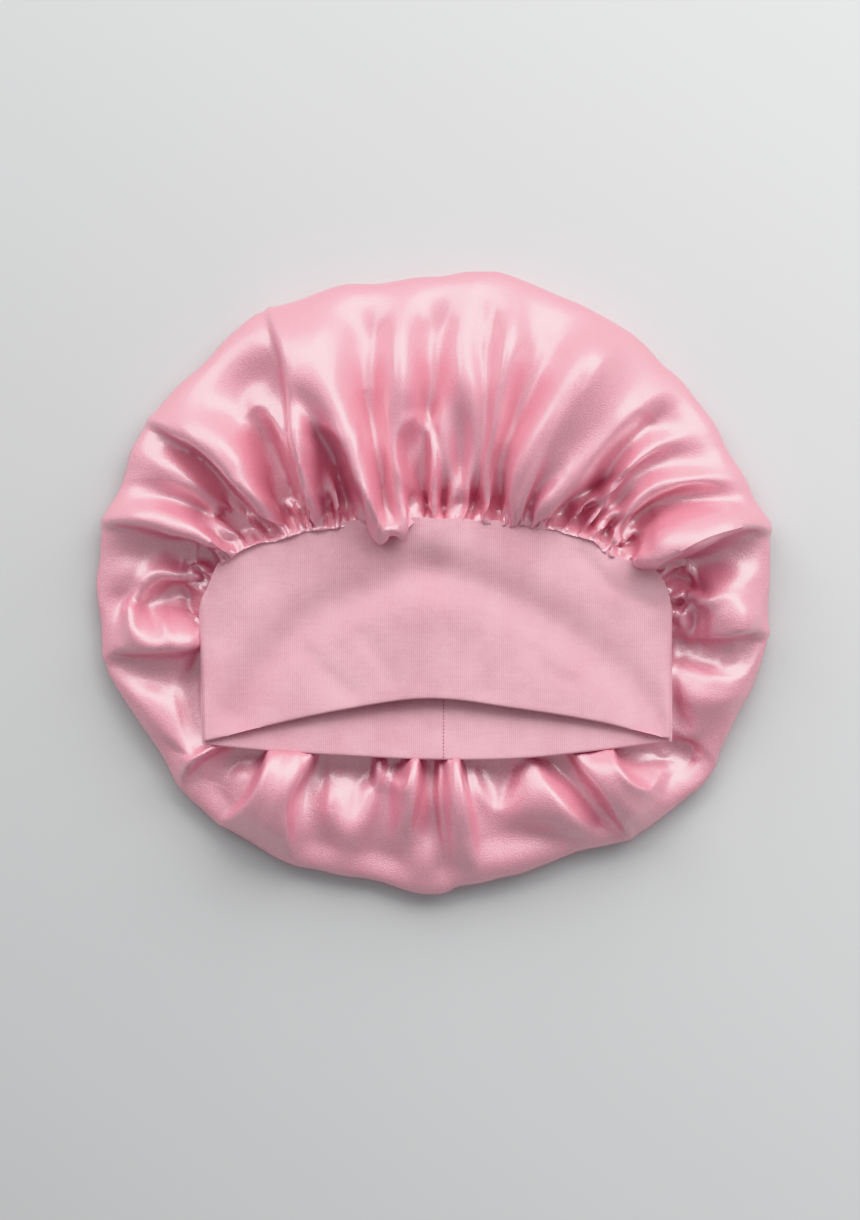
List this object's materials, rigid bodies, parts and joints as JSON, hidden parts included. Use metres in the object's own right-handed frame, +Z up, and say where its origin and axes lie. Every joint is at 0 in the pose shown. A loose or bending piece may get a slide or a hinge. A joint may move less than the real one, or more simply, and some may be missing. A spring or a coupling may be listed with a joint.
{
  "type": "sleep bonnet",
  "caption": "Satin sleep bonnet lying flat: a gathered round crown on a wide, soft elastic jersey band, opening towards the viewer.",
  "frame": {"origin": "on the floor, under the middle of the outline's box as the bonnet lies flat", "axes": "+X across the band to the viewer's right, +Y from the band's free edge to the top of the crown, +Z up out of the floor"},
  "size_m": [0.3403, 0.3144, 0.042],
  "materials": {
    "satin": "soft dusty pink satin, woven, with a low sheen",
    "jersey": "matt dusty pink cotton jersey with fine vertical wales"
  },
  "bodies": {
    "root": {"crown": "satin", "band": "jersey"}
  },
  "joints": []
}
